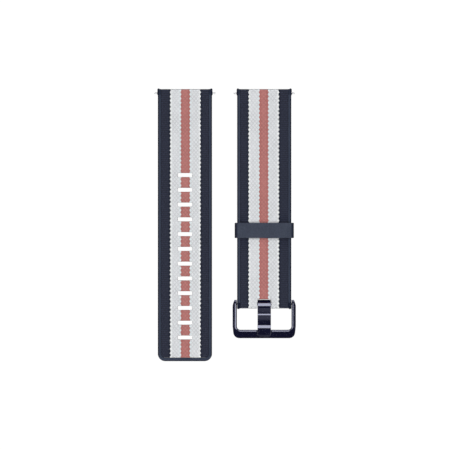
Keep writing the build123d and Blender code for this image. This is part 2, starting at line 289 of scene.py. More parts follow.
def weave_rule(tree, across, along, warp_pitch, pick_pitch, swing):
    """Where a place on the webbing lies in its weave.

    Gives the yarn column, how far across it the place is, how far the yarn rises there and its round section.
    """
    column_place = calc(tree, "DIVIDE", across, warp_pitch)
    angle = calc(tree, "MULTIPLY", calc(tree, "DIVIDE", along, pick_pitch), math.pi)
    sideways = calc(tree, "SINE", calc(tree, "MULTIPLY", column_place, math.pi))
    wave = calc(tree, "MULTIPLY", sideways, calc(tree, "COSINE", angle))
    shift = calc(tree, "MULTIPLY", wave, calc(tree, "DIVIDE", swing, warp_pitch))
    place = calc(tree, "SUBTRACT", column_place, shift)
    column = calc(tree, "ROUND", place)
    offset = calc(tree, "SUBTRACT", place, column)
    turn = calc(tree, "COSINE", calc(tree, "MULTIPLY_ADD", column, math.pi, angle))
    rise = calc(tree, "MULTIPLY_ADD", turn, 0.5, 0.5)
    square = calc(tree, "MULTIPLY", offset, offset)
    section = calc(tree, "SQRT", calc(tree, "MAXIMUM", calc(tree, "MULTIPLY_ADD", square, -4.0, 1.0), 0.0))
    return column, offset, rise, section


# ---------------------------------------------------------------- shader groups


def make_weave_group():
    """Weave of the webbing: yarn column, offset across the yarn, rise, section and a tone for each float."""
    inputs = {"Across": "NodeSocketFloat", "Along": "NodeSocketFloat", "Warp Pitch": "NodeSocketFloat",
              "Pick Pitch": "NodeSocketFloat", "Swing": "NodeSocketFloat"}
    outputs = {name: "NodeSocketFloat" for name in ("Column", "Offset", "Rise", "Section", "Tone")}
    tree, given, result = new_group("weave", "ShaderNodeTree", inputs, outputs)
    column, offset, rise, section = weave_rule(tree, *[given.outputs[name] for name in inputs])
    pick = calc(tree, "DIVIDE", given.outputs["Along"], given.outputs["Pick Pitch"])
    float_number = calc(tree, "ROUND", calc(tree, "MULTIPLY", calc(tree, "ADD", pick, column), 0.5))
    tone = tree.nodes.new("ShaderNodeTexWhiteNoise")
    tone.noise_dimensions = "2D"
    fill(tree, tone.inputs["Vector"], combine(tree, column, float_number, 0.0))
    for name, value in zip(outputs, (column, offset, rise, section, tone.outputs["Value"])):
        fill(tree, result.inputs[name], value)
    return tree


def make_grain_group():
    """Fine moulded grain: a height, and slow cloudy tone."""
    inputs = {"Place": "NodeSocketVector", "Grain Size": "NodeSocketFloat", "Cloud Size": "NodeSocketFloat"}
    outputs = {"Height": "NodeSocketFloat", "Tone": "NodeSocketFloat"}
    tree, given, result = new_group("grain", "ShaderNodeTree", inputs, outputs)
    for name, size, detail in (("Height", "Grain Size", 4.0), ("Tone", "Cloud Size", 2.0)):
        texture = tree.nodes.new("ShaderNodeTexNoise")
        fill(tree, texture.inputs["Vector"], given.outputs["Place"])
        fill(tree, texture.inputs["Scale"], calc(tree, "DIVIDE", 1.0, given.outputs[size]))
        texture.inputs["Detail"].default_value = detail
        fill(tree, result.inputs[name], texture.outputs["Fac"])
    return tree


def make_wear_group():
    """Faint rubbed marks and dust: a share that stays near nought except in thin streaks and specks."""
    inputs = {"Place": "NodeSocketVector", "Streak": "NodeSocketFloat", "Amount": "NodeSocketFloat"}
    outputs = {"Share": "NodeSocketFloat"}
    tree, given, result = new_group("wear", "ShaderNodeTree", inputs, outputs)
    x, y, z = split(tree, given.outputs["Place"])
    place = combine(tree, x, calc(tree, "DIVIDE", y, given.outputs["Streak"]), z)
    streaks = remap(tree, noise(tree, place, 2.2, 6.0, 0.65), 0.52, 0.72, 0.0, 1.0)
    specks = remap(tree, noise(tree, given.outputs["Place"], 6.0, 2.0, 0.5), 0.66, 0.74, 0.0, 1.0)
    share = calc(tree, "MULTIPLY", calc(tree, "MAXIMUM", streaks, specks), given.outputs["Amount"])
    fill(tree, result.inputs["Share"], share)
    return tree


# ---------------------------------------------------------------- materials


def new_material(name):
    """An empty material, its tree, its Principled shader and a millimetre place on the object."""
    material = bpy.data.materials.new(name)
    material.use_nodes = True
    tree = material.node_tree
    tree.nodes.clear()
    output = tree.nodes.new("ShaderNodeOutputMaterial")
    shader = tree.nodes.new("ShaderNodeBsdfPrincipled")
    tree.links.new(shader.outputs[0], output.inputs["Surface"])
    coordinates = tree.nodes.new("ShaderNodeTexCoord")
    mapping = tree.nodes.new("ShaderNodeMapping")
    mapping.inputs["Scale"].default_value = (1 / MM,) * 3
    tree.links.new(coordinates.outputs["Object"], mapping.inputs["Vector"])
    return material, tree, shader, mapping


def bump(tree, shader, height, depth_mm):
    """Bump the surface by a height between nought and one."""
    node = tree.nodes.new("ShaderNodeBump")
    node.inputs["Strength"].default_value = 1.0
    node.inputs["Distance"].default_value = depth_mm * MM
    fill(tree, node.inputs["Height"], height)
    tree.links.new(node.outputs[0], shader.inputs["Normal"])


def webbing_material(name, centre_x, low_y, high_y, weave, wear):
    """Five-stripe woven nylon, coloured yarn by yarn, with painted shade and highlight in its weave and
    melted cut ends.
    """
    material, tree, shader, mapping = new_material(name)
    mapping.inputs["Location"].default_value = (-centre_x, 0, 0)
    across, along, _ = split(tree, mapping.outputs[0])
    yarn = use_group(tree, weave, across=across, along=along, warp_pitch=WARP_PITCH, pick_pitch=PICK_PITCH,
                     swing=YARN_SWING)
    stripes = tree.nodes.new("ShaderNodeValToRGB")
    stripes.color_ramp.interpolation = "CONSTANT"
    stops = stripes.color_ramp.elements
    while len(stops) < len(WEBBING_COLOURS):
        stops.new(0.5)
    for stop, (first_column, colour) in zip(stops, WEBBING_COLOURS):
        stop.position = max(0.0, (first_column - 0.5) / COLUMN_RANGE)
        stop.color = linear(colour)
    column = calc(tree, "ABSOLUTE", yarn["Column"])
    column_share = calc(tree, "DIVIDE", column, COLUMN_RANGE)
    fill(tree, stripes.inputs["Fac"], column_share)
    # yarns sink into shade where they dive, and each float has its own tone
    height = calc(tree, "MULTIPLY", yarn["Section"], calc(tree, "MULTIPLY_ADD", yarn["Rise"], 0.6, 0.4))
    tone = remap(tree, yarn["Tone"], 0.0, 1.0, *FLOAT_TONES)
    shade = calc(tree, "MULTIPLY", remap(tree, height, 0.0, 0.75, *YARN_SHADES), tone)
    # painted highlight and shade in bands that follow the picks, deeper on the dark yarns
    rib_shading = calc(tree, "COSINE", calc(tree, "MULTIPLY", along, 2 * math.pi / PICK_PITCH))
    rib_shading_depth = remap(tree, column, LAST_THIN_COLUMN, LAST_THIN_COLUMN + 1.0, PALE_RIB_SHADING, NAVY_RIB_SHADING)
    shade = calc(tree, "MULTIPLY", shade, calc(tree, "MULTIPLY_ADD", rib_shading, rib_shading_depth, 0.99))
    # painted shade in the pinholes between the yarns, in patches where the weave is looser
    hole = remap(tree, height, *PINHOLE_HEIGHTS, 1.0, 0.0)
    loose = remap(tree, noise(tree, mapping.outputs[0], 0.16, 3.0, 0.6), 0.42, 0.6, 0.0, PINHOLE_SHADE)
    shade = calc(tree, "MULTIPLY", shade, calc(tree, "SUBTRACT", 1.0, calc(tree, "MULTIPLY", hole, loose)))
    across_yarn = calc(tree, "MULTIPLY", yarn["Offset"], 9.0)
    along_yarn = calc(tree, "MULTIPLY", along, 0.9)
    filament_place = combine(tree, across_yarn, along_yarn, yarn["Column"])
    filaments = noise(tree, filament_place, 1.0, 4.0, 0.7)
    shade = calc(tree, "MULTIPLY", shade, remap(tree, filaments, 0.3, 0.7, *FILAMENT_TONES))
    grey = combine(tree, shade, shade, shade)
    colour = mix(tree, 1.0, stripes.outputs["Color"], grey, "MULTIPLY")
    to_high, to_low = calc(tree, "SUBTRACT", high_y, along), calc(tree, "SUBTRACT", along, low_y)
    to_end = calc(tree, "MINIMUM", to_high, to_low)
    sealed = remap(tree, to_end, SEALED_END * 0.6, SEALED_END, 1.0, 0.0)
    colour = mix(tree, calc(tree, "MULTIPLY", sealed, MELTED_SHARE), colour, linear(MELTED_COLOUR))
    fill(tree, shader.inputs["Base Color"], colour)
    rubbed = use_group(tree, wear, place=mapping.outputs[0], streak=6.0, amount=0.12)["Share"]
    roughness = calc(tree, "SUBTRACT", remap(tree, sealed, 0.0, 1.0, 0.82, 0.5), rubbed)
    fill(tree, shader.inputs["Roughness"], roughness)
    shader.inputs["Sheen Weight"].default_value = 0.04
    shader.inputs["Sheen Roughness"].default_value = 0.5
    shader.inputs["Specular IOR Level"].default_value = 0.2
    bump(tree, shader, filaments, FILAMENT_BUMP)
    return material


def elastomer_material(name, colours, painted_shade, grain_size, grain_depth, roughness, grain, wear):
    """Moulded elastomer with a fine grain, slow tone changes, faint rubbed marks and painted shade on its
    sides.

    The third argument gives the painted shade: a function from the material's tree and place to the share of
    the dark painted shade colour.
    """
    colour, cloud_colour = colours
    material, tree, shader, mapping = new_material(name)
    marks = use_group(tree, grain, place=mapping.outputs[0], grain_size=grain_size, cloud_size=7.0)
    rubbed = use_group(tree, wear, place=mapping.outputs[0], streak=4.0, amount=0.5)["Share"]
    clouds = remap(tree, marks["Tone"], 0.35, 0.65, 0.0, 1.0)
    base = mix(tree, clouds, linear(colour), linear(cloud_colour))
    specks = remap(tree, marks["Height"], 0.35, 0.65, 0.86, 1.14)
    base = mix(tree, 1.0, base, combine(tree, specks, specks, specks), "MULTIPLY")
    dusty = tuple(min(255, c + 26) for c in cloud_colour)
    base = mix(tree, calc(tree, "MULTIPLY", rubbed, 0.4), base, linear(dusty))
    # painted shade: edges, sides and cheeks darkened towards a dark navy
    base = mix(tree, painted_shade(tree, split(tree, mapping.outputs[0])), base, linear(PAINTED_SHADE_COLOUR))
    fill(tree, shader.inputs["Base Color"], base)
    fill(tree, shader.inputs["Roughness"], calc(tree, "MULTIPLY_ADD", clouds, 0.08, roughness))
    shader.inputs["Specular IOR Level"].default_value = 0.1
    bump(tree, shader, marks["Height"], grain_depth)
    return material


def tray_painted_shade(low, high, low_cheek):
    """Share of painted shade on a strap's tray: nought on the top of its rim, one on its edges, sides and
    cheeks.
    """
    centre_x, half_width = (low.x + high.x) / 2, (high.x - low.x) / 2 - CHEEK_PROUD

    def share(tree, place):
        across = calc(tree, "ABSOLUTE", calc(tree, "SUBTRACT", place[0], centre_x))
        shares = [
            remap(tree, across, half_width - SHADED_EDGE_BAND - 0.1, half_width - SHADED_EDGE_BAND, 0.0, 1.0),
            remap(tree, place[2], STRAP_TOP - 0.28, STRAP_TOP - 0.06, 1.0, 0.0),
            remap(tree, place[1], high.y - CHEEK_LENGTH, high.y - CHEEK_LENGTH + 0.4, 0.0, 0.5),
            remap(tree, place[1], low.y + low_cheek - 0.2, low.y + low_cheek, 1.0, 0.0),
        ]
        most = shares[0]
        for other in shares[1:]:
            most = calc(tree, "MAXIMUM", most, other)
        return most
    return share


def keeper_painted_shade(centre_x, half_width):
    """Share of painted shade on the keeper: one round its two narrow sides."""
    def share(tree, place):
        across = calc(tree, "ABSOLUTE", calc(tree, "SUBTRACT", place[0], centre_x))
        return remap(tree, across, half_width - 1.4, half_width - 0.55, 0.0, 1.0)
    return share


def anodised_material(name, grain, wear):
    """Gloss dark navy finish over metal, with a faint brushed trace and hairline rubs."""
    material, tree, shader, mapping = new_material(name)
    marks = use_group(tree, grain, place=mapping.outputs[0], grain_size=0.12, cloud_size=4.0)
    rubbed = use_group(tree, wear, place=mapping.outputs[0], streak=0.25, amount=1.0)["Share"]
    clouds = remap(tree, marks["Tone"], 0.35, 0.65, 0.0, 1.0)
    base = mix(tree, clouds, linear(NAVY_FINISH[0]), linear(NAVY_FINISH[1]))
    base = mix(tree, calc(tree, "MULTIPLY", rubbed, 0.12), base, linear(RUBBED_NAVY))
    fill(tree, shader.inputs["Base Color"], base)
    fill(tree, shader.inputs["Roughness"], calc(tree, "MULTIPLY_ADD", rubbed, 0.05, NAVY_ROUGHNESS))
    shader.inputs["IOR"].default_value = NAVY_IOR
    shader.inputs["Specular Tint"].default_value = NAVY_REFLECTION
    bump(tree, shader, marks["Height"], 0.0006)
    return material


def steel_material(name, colour, roughness, metallic, grain, wear):
    """Drawn stainless steel, turned round its own axis."""
    material, tree, shader, mapping = new_material(name)
    x, y, z = split(tree, mapping.outputs[0])
    turned = combine(tree, calc(tree, "MULTIPLY", x, 12.0), y, z)
    lines = noise(tree, turned, 2.0, 4.0, 0.7)
    marks = use_group(tree, grain, place=mapping.outputs[0], grain_size=0.1, cloud_size=2.0)
    rubbed = use_group(tree, wear, place=mapping.outputs[0], streak=1.0, amount=0.8)["Share"]
    dark = tuple(int(c * 0.8) for c in colour)
    tone = remap(tree, lines, 0.3, 0.7, 0.0, 1.0)
    base = mix(tree, tone, linear(dark), linear(colour))
    base = mix(tree, calc(tree, "MULTIPLY", rubbed, 0.3), base, linear(STEEL_GRIME))
    fill(tree, shader.inputs["Base Color"], base)
    fill(tree, shader.inputs["Roughness"], calc(tree, "MULTIPLY_ADD", marks["Tone"], 0.15, roughness))
    shader.inputs["Metallic"].default_value = metallic
    bump(tree, shader, lines, 0.004)
    return material


# ---------------------------------------------------------------- mesh helpers


def finish_mesh(name, vertices, faces, sharp_angle=math.radians(40)):
    """A linked object from millimetre vertices, with merged doubles and outward, smooth faces."""
    mesh = bpy.data.meshes.new(name)
    mesh.from_pydata([tuple(Vector(v) * MM) for v in vertices], [], faces)
    work = bmesh.new()
    work.from_mesh(mesh)
    bmesh.ops.remove_doubles(work, verts=work.verts, dist=1e-7)
    bmesh.ops.dissolve_degenerate(work, edges=work.edges, dist=1e-8)
    bmesh.ops.recalc_face_normals(work, faces=work.faces)
    work.to_mesh(mesh)
    work.free()
    mesh.shade_smooth()
    mesh.set_sharp_from_angle(angle=sharp_angle)
    piece = bpy.data.objects.new(name, mesh)
    bpy.context.scene.collection.objects.link(piece)
    return piece


def bake_modifiers(piece):
    """Replace a piece's mesh by what its modifiers make of it, and remove them."""
    graph = bpy.context.evaluated_depsgraph_get()
    mesh = bpy.data.meshes.new_from_object(piece.evaluated_get(graph))
    piece.modifiers.clear()
    old = piece.data
    piece.data = mesh
    mesh.name = piece.name
    bpy.data.meshes.remove(old)


def loft(rings, closed):
    """Vertices and quads over a row of rings with the same number of points."""
    count = len(rings[0])
    vertices = [point for ring in rings for point in ring]
    faces = []
    last = len(rings) if closed else len(rings) - 1
    for row in range(last):
        here, there = row * count, (row + 1) % len(rings) * count
        for i in range(count):
            j = (i + 1) % count
            faces.append((here + i, here + j, there + j, there + i))
    if not closed:
        faces.append(tuple(range(count)))
        faces.append(tuple(reversed(range(len(vertices) - count, len(vertices)))))
    return vertices, faces


def arc(centre, radius, start, end, count):
    """Points on an arc in a plane, with angles in degrees."""
    points = []
    for i in range(count + 1):
        angle = math.radians(start + (end - start) * i / count)
        points.append((centre[0] + radius * math.cos(angle), centre[1] + radius * math.sin(angle)))
    return points


def cut_rod(piece, radius, x_low, x_high, y, z):
    """Cut a round hole along X out of a piece."""
    ring = arc((y, z), radius, 0, 360 - 360 / 32, 31)
    vertices, faces = loft([[(x, py, pz) for py, pz in ring] for x in (x_low, x_high)], False)
    cutter = finish_mesh("cutter", vertices, faces)
    boolean = piece.modifiers.new("hole", "BOOLEAN")
    boolean.operation = "DIFFERENCE"
    boolean.solver = "EXACT"
    boolean.object = cutter
    bake_modifiers(piece)
    bpy.data.objects.remove(cutter)
    piece.data.set_sharp_from_angle(angle=math.radians(40))


# ---------------------------------------------------------------- webbing


def rounded_box_distance(x, y, centre, half_width, half_height, radius):
    """Signed distance to a rounded rectangle, below nought inside, and the outward direction."""
    dx, dy = x - centre[0], y - centre[1]
    qx, qy = abs(dx) - half_width + radius, abs(dy) - half_height + radius
    outside = math.hypot(max(qx, 0), max(qy, 0))
    distance = outside + min(max(qx, qy), 0) - radius
    if qx > 0 and qy > 0:
        direction = (qx / outside, qy / outside)
    else:
        direction = (1.0, 0.0) if qx > qy else (0.0, 1.0)
    return distance, math.copysign(direction[0], dx), math.copysign(direction[1], dy)


def webbing_blank(name, low, high, openings, tip_radius):
    """Closed plain strip with its openings cut and its edges rolled, ready for the weave.

    The point attribute lift says how much of the weave's relief a point takes.
    """
    width, length = high.x - low.x, high.y - low.y
    top, bottom = high.z, low.z
    columns, rows = round(width / WEAVE_MESH), round(length / WEAVE_MESH)
    step_x, step_y = width / columns, length / rows
    plan_centre = ((low.x + high.x) / 2, (low.y + high.y) / 2 + tip_radius)
    plan = (plan_centre, width / 2, length / 2 + tip_radius, tip_radius)

    def edge(x, y):
        """Signed distance to the nearest outline, above nought on the cloth, and the way off the cloth."""
        distance, nx, ny = rounded_box_distance(x, y, *plan)
        best = (-distance, nx, ny)
        if high.y - y < best[0]:
            best = (high.y - y, 0.0, 1.0)
        for opening in openings:
            if abs(y - opening[0][1]) < opening[2] + 1.5:
                distance, nx, ny = rounded_box_distance(x, y, *opening)
                best = min(best, (distance, -nx, -ny))
        return best

    kept = [(i, j) for j in range(rows) for i in range(columns)
            if edge(low.x + (i + 0.5) * step_x, low.y + (j + 0.5) * step_y)[0] > 0]
    number = {}
    for i, j in kept:
        for corner in ((i, j), (i + 1, j), (i + 1, j + 1), (i, j + 1)):
            number.setdefault(corner, len(number))
    around = {}
    for i, j in kept:
        for corner in ((i, j), (i + 1, j), (i + 1, j + 1), (i, j + 1)):
            around[corner] = around.get(corner, 0) + 1
    vertices, lift = [], []
    for (i, j), index in number.items():
        x, y = low.x + i * step_x, low.y + j * step_y
        distance, nx, ny = edge(x, y)
        if around[(i, j)] < 4:
            x, y, distance = x + nx * distance, y + ny * distance, 0.0
        roll = max(0.0, INLAY_EDGE_RADIUS - max(distance, 0.0))
        drop = INLAY_EDGE_RADIUS - math.sqrt(max(INLAY_EDGE_RADIUS ** 2 - roll ** 2, 0.0))
        vertices.append((x, y, top - drop))
        lift.append(min(1.0, max(distance, 0.0) / (1.5 * INLAY_EDGE_RADIUS)))
    faces = []
    for i, j in kept:
        corners = ((i, j), (i + 1, j), (i + 1, j + 1), (i, j + 1))
        faces.append(tuple(number[corner] for corner in corners))
    mesh = bpy.data.meshes.new(name)
    mesh.from_pydata([tuple(Vector(v) * MM) for v in vertices], [], faces)
    layer = mesh.attributes.new("lift", "FLOAT", "POINT")
    layer.data.foreach_set("value", lift)
    work = bmesh.new()
    work.from_mesh(mesh)
    rim = [e for e in work.edges if e.is_boundary]
    wall = bmesh.ops.extrude_edge_only(work, edges=rim)["geom"]
    for v in (item for item in wall if isinstance(item, bmesh.types.BMVert)):
        v.co.z = bottom * MM
    floor = [e for e in work.edges if e.is_boundary]
    bmesh.ops.triangle_fill(work, edges=floor, use_beauty=True)
    bmesh.ops.recalc_face_normals(work, faces=work.faces)
    work.to_mesh(mesh)
    work.free()
    piece = bpy.data.objects.new(name, mesh)
    bpy.context.scene.collection.objects.link(piece)
    return piece


def make_relief_tree():
    """Geometry nodes that raise the yarns of the webbing and give it its material."""
    inputs = {"Geometry": "NodeSocketGeometry", "Centre": "NodeSocketFloat", "Warp Pitch": "NodeSocketFloat",
              "Pick Pitch": "NodeSocketFloat", "Swing": "NodeSocketFloat", "Relief": "NodeSocketFloat",
              "Material": "NodeSocketMaterial"}
    outputs = {"Geometry": "NodeSocketGeometry"}
    tree, given, result = new_group("weave_relief", "GeometryNodeTree", inputs, outputs)
    position = tree.nodes.new("GeometryNodeInputPosition")
    x, y, _ = split(tree, position.outputs[0])
    across = calc(tree, "SUBTRACT", calc(tree, "DIVIDE", x, MM), given.outputs["Centre"])
    along = calc(tree, "DIVIDE", y, MM)
    sizes = [given.outputs[name] for name in ("Warp Pitch", "Pick Pitch", "Swing")]
    _, _, rise, section = weave_rule(tree, across, along, *sizes)
    shape = calc(tree, "MULTIPLY", section, calc(tree, "MULTIPLY_ADD", rise, 0.65, 0.35))
    lift = tree.nodes.new("GeometryNodeInputNamedAttribute")
    lift.data_type = "FLOAT"
    lift.inputs["Name"].default_value = "lift"
    sunk = calc(tree, "MULTIPLY", calc(tree, "SUBTRACT", shape, 0.8), given.outputs["Relief"])
    raised = calc(tree, "MULTIPLY", calc(tree, "MULTIPLY", sunk, lift.outputs["Attribute"]), MM)
    move = tree.nodes.new("GeometryNodeSetPosition")
    fill(tree, move.inputs["Geometry"], given.outputs["Geometry"])
    fill(tree, move.inputs["Offset"], combine(tree, 0.0, 0.0, raised))
    finish_tree(tree, move.outputs["Geometry"], given, result)
    return tree


def finish_tree(tree, geometry, given, result):
    """End a geometry tree: instances made real, smooth faces, and the material set."""
    real = tree.nodes.new("GeometryNodeRealizeInstances")
    smooth = tree.nodes.new("GeometryNodeSetShadeSmooth")
    paint = tree.nodes.new("GeometryNodeSetMaterial")
    fill(tree, real.inputs[0], geometry)
    fill(tree, smooth.inputs["Geometry"], real.outputs[0])
    fill(tree, paint.inputs["Geometry"], smooth.outputs[0])
    fill(tree, paint.inputs["Material"], given.outputs["Material"])
    fill(tree, result.inputs["Geometry"], paint.outputs[0])


def run_tree(piece, tree, **values):
    """Run a geometry tree on a piece with these inputs, and keep the result as its mesh."""
    modifier = piece.modifiers.new(tree.name, "NODES")
    modifier.node_group = tree
    for item in tree.interface.items_tree:
        key = item.name.replace(" ", "_").lower()
        if item.in_out == "INPUT" and key in values:
            modifier[item.identifier] = values[key]
    bake_modifiers(piece)


def webbing(name, node, body, openings, tip_radius, stripe_shift, relief_tree, weave, wear):
    """Woven inlay of one strap, whose stripes sit a little to one side."""
    low, high = box_mm(node)
    centre = (low.x + high.x) / 2 + stripe_shift
    piece = webbing_blank(name, low, high, openings, tip_radius)
    material = webbing_material(name + "_yarn", centre, low.y, high.y, weave, wear)
    run_tree(piece, relief_tree, centre=centre, warp_pitch=WARP_PITCH, pick_pitch=PICK_PITCH,
             swing=YARN_SWING, relief=YARN_RELIEF, material=material)
    ride_and_replace(piece, body, node)
    width, length = high.x - low.x, high.y - low.y
    area = width * length
    for (_, y), half_width, half_height, _ in openings:
        area -= 2 * half_width * (min(high.y, y + half_height) - max(low.y, y - half_height))


def slot_outlines(centre_x, end_y):
    """Centre, half sizes and corner radius of every slot."""
    places = [end_y - FIRST_SLOT - SLOT_PITCH * index for index in range(SLOT_COUNT)]
    return [((centre_x, y), SLOT_WIDTH / 2, SLOT_HEIGHT / 2, SLOT_RADIUS) for y in places]


# ---------------------------------------------------------------- buckle and keeper


def ride_and_replace(piece, body, node):
    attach(piece, body)
    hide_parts(node)


def frame_half_width():
    low, high = box_mm("buckle_frame")
    return (high.x - low.x) / 2


def ray_end(start, angle, outline):
    """Where a ray from a point inside a convex outline crosses it."""
    way = Vector((math.cos(angle), math.sin(angle)))
    for first, second in zip(outline, outline[1:]):
        a, b = Vector(first) - Vector(start), Vector(second) - Vector(start)
        side_a, side_b = way.cross(a), way.cross(b)
        if side_a * side_b <= 0 and side_a != side_b:
            crossing = a.lerp(b, side_a / (side_a - side_b))
            if crossing.dot(way) > 0:
                return tuple(Vector(start) + crossing)
    return outline[-1]


def frame_stations(bar_y, frame_low):
    """Pairs of inner and outer points round the left half of the U, from the arm's end to the middle."""
    top_y = bar_y + ARM_TOP
    inner_low = frame_low + CROSSBAR_DEPTH
    half = frame_half_width()
    foot_slope = FOOT_TAPER / FOOT_LENGTH

    def outer_x(y):
        """Left side of the outline, drawn in at the arm's end and towards the foot."""
        at_end = max(0.0, y - top_y + TAPER_LENGTH) / TAPER_LENGTH * ARM_TAPER
        at_foot = max(0.0, frame_low + FOOT_LENGTH - y) * foot_slope
        return at_end + at_foot - half

    lean = math.atan(foot_slope)
    corner_y = frame_low + OUTER_CORNER
    corner_x = outer_x(corner_y) + OUTER_CORNER / math.cos(lean)
    outer_arc = arc((corner_x, corner_y), OUTER_CORNER, 180 + math.degrees(lean), 270, 10)
    arm_low = inner_low + INNER_CORNER
    inner_centre = (INNER_CORNER - WINDOW_HALF_WIDTH, arm_low)
    # the outline reaches a little past the corner, so that its first and last rays still meet it
    spare = 0.01
    start, end = (outer_x(arm_low + spare), arm_low + spare), (inner_centre[0] + spare, frame_low)
    outline = [start] + outer_arc + [end]
    pairs = []
    eye_steps = [top_y - ARM_TOP * (1 - math.cos(math.radians(a))) for a in range(6, 91, 7)]
    arm_steps = [bar_y - (bar_y - arm_low) * i / 12 for i in range(1, 12)]
    for y in eye_steps + arm_steps:
        pairs.append(((-WINDOW_HALF_WIDTH, y), (outer_x(y), y)))
    for angle in range(180, 271, 6):
        inner = arc(inner_centre, INNER_CORNER, angle, angle, 1)[0]
        pairs.append((inner, ray_end(inner_centre, math.radians(angle), outline)))
    recess_end = -RECESS_HALF_WIDTH - 0.12
    for i in range(1, 9):
        x = inner_centre[0] + (recess_end - inner_centre[0]) * i / 8
        pairs.append(((x, inner_low), (x, frame_low)))
    for x in (-RECESS_HALF_WIDTH, -RECESS_HALF_WIDTH + 0.06, -1.5, 0.0):
        pairs.append(((x, inner_low), (x, frame_low)))
    return pairs


def frame_ring(inner, outer, bar_y, frame_low, centre_x):
    """Closed section of the frame between an inner and an outer point."""
    inner_low = frame_low + CROSSBAR_DEPTH

    def heights(y):
        """Top and underside; past the bar the arm's end closes in a squarish round."""
        share = min(1.0, max(0.0, (bar_y - y) / (bar_y - inner_low)))
        top = BAR_Z + ARM_HALF_HEIGHT + (CROSSBAR_TOP - BAR_Z - ARM_HALF_HEIGHT) * share
        base = BAR_Z - ARM_HALF_HEIGHT + (CROSSBAR_BOTTOM - BAR_Z + ARM_HALF_HEIGHT) * share
        past = min(1.0, max(0.0, (y - bar_y) / ARM_TOP))
        half = ARM_HALF_HEIGHT * (1 - past ** ARM_END_SQUARENESS) ** (1 / ARM_END_SQUARENESS)
        return (BAR_Z + half, BAR_Z - half) if past else (top, base)

    recessed = abs(inner[0]) <= RECESS_HALF_WIDTH and inner[1] <= inner_low + 0.01
    reach = math.hypot(outer[0] - inner[0], outer[1] - inner[1])
    top, base = heights(inner[1])
    low_top, low_base = heights(outer[1])
    height = top - base
    small = min(UNDER_EDGE_ROUND, height * 0.3)
    tiny = small * 0.15
    bevel = min(1.0, max(0.02, (0.75 - (inner[1] - bar_y)) / 0.5))
    foot = min(1.0, max(0.0, (inner_low + INNER_CORNER - inner[1]) / INNER_CORNER))
    start = (BEVEL_START + (CROSSBAR_BEVEL_START - BEVEL_START) * foot) * bevel
    end = (BEVEL_END + (CROSSBAR_BEVEL_END - BEVEL_END) * foot) * bevel
    deep = (end - start) * math.tan(math.radians(BEVEL_SLOPE))
    edge = start * 0.9 * math.tan(math.radians(WINDOW_EDGE_SLOPE))
    section = [(0.0, base + small), (small * 0.3, base + small * 0.3), (small, base)]
    section += [(reach - small, low_base), (reach - small * 0.3, low_base + small * 0.3)]
    section += [(reach, low_base + small)]
    section += [(reach, low_top - tiny), (reach - tiny * 0.12, low_top - tiny * 0.5)]
    section += [(reach - tiny * 0.5, low_top - tiny * 0.12)]
    if recessed:
        lip = reach - RECESS_LIP
        # this branch and the next give the same number of points, so that the rings join
        section += [(reach - tiny, low_top), (reach - tiny - 0.03, low_top), (lip + 0.03, low_top)]
        section += [(lip, low_top - 0.04), (lip - 0.02, RECESS_Z), (1.2, RECESS_Z)]
        section += [(0.7, RECESS_Z), (0.3, RECESS_Z), (0.15, RECESS_Z - 0.04), (0.06, RECESS_Z - 0.13)]
        section += [(0.0, RECESS_Z - 0.28)]
    else:
        middle = (low_top + top) / 2
        section += [(reach - tiny, low_top), (reach - tiny - 0.03, low_top)]
        section += [(end + (reach - end) * 0.6, middle), (end * 1.1, top), (end * 1.05, top)]
        section += [(end, top - deep * 0.04), (end - 0.08 * bevel, top - deep * 0.14)]
        section += [(start + 0.04 * bevel, top - deep * 0.94), (start, top - deep)]
        section += [(start * 0.9, top - deep - edge * 0.1)]
        section += [(0.0, top - deep - edge)]
    ring = []
    for across, z in section:
        share = across / reach
        x = inner[0] + (outer[0] - inner[0]) * share
        y = inner[1] + (outer[1] - inner[1]) * share
        ring.append((x + centre_x, y, z))
    return ring


def buckle_frame(material):
    """U-shaped frame with a bevelled window, rounded arm ends and a recess for the tang."""
    low, high = box_mm("buckle_frame")
    centre_x = (low.x + high.x) / 2
    bar_y = high.y - ARM_TOP
    pairs = frame_stations(bar_y, low.y)
    mirrored = [((-inner[0], inner[1]), (-outer[0], outer[1])) for inner, outer in reversed(pairs[:-1])]
    rings = [frame_ring(inner, outer, bar_y, low.y, centre_x) for inner, outer in pairs + mirrored]
    vertices, faces = loft(rings, False)
    piece = finish_mesh("frame_shell", vertices, faces, math.radians(32))
    hole_end = WINDOW_HALF_WIDTH + BAR_HOLE_DEPTH
    cut_rod(piece, BAR_HOLE_RADIUS, centre_x - hole_end, centre_x + hole_end, bar_y, BAR_Z)
    piece.data.materials.append(material)
    ride_and_replace(piece, "frame", "buckle_frame")


def tang_top():
    """Top line of the tang from its barrel to its tip, as distances from the bar and heights.

    Each step is a distance from the bar that a run ends at, and the run's slope in degrees.
    """
    heel = [(1.62, 75), (1.5, 62), (1.2, 50), (0.66, 43), (0.28, 39), (0.2, 33), (-0.3, 29), (-0.82, 25)]
    arch = [(-0.88, 14), (-1.0, 4), (-1.5, 2), (-1.62, 6), (-2.8, 8), (-3.2, 7.5), (-3.74, 7), (-3.9, 14)]
    crest = [(-3.97, 24), (-4.5, 28), (-4.58, -2), (-4.66, -9), (-5.3, -8.5), (-5.8, -6.5), (-6.3, -4.5)]
    fall = [(-6.9, -2.8), (-7.5, -1.5), (-8.56, -0.8), (-8.64, -24), (-9.1, -30), (-9.74, -27), (-9.84, -14)]
    tip = [(-9.92, -2), (-11.2, -1), (-12.5, -1), (-12.9, -3), (-13.05, -6), (-13.12, -12), (-13.18, -62)]
    steps = heel + arch + crest + fall + tip + [(TANG_TIP, -84)]
    y, height = TANG_BARREL_RADIUS - 0.05, TANG_HEEL_Z
    line = [(y, height)]
    for next_y, slope in steps:
        rise = math.tan(math.radians(slope))
        # points close to a long run's ends keep its reflection flat up to them
        for place in (y - 0.04, next_y + 0.04, next_y):
            if place == next_y or y - next_y > 0.3:
                line.append((place, height + (y - place) * rise))
        height += (y - next_y) * rise
        y = next_y
    return line


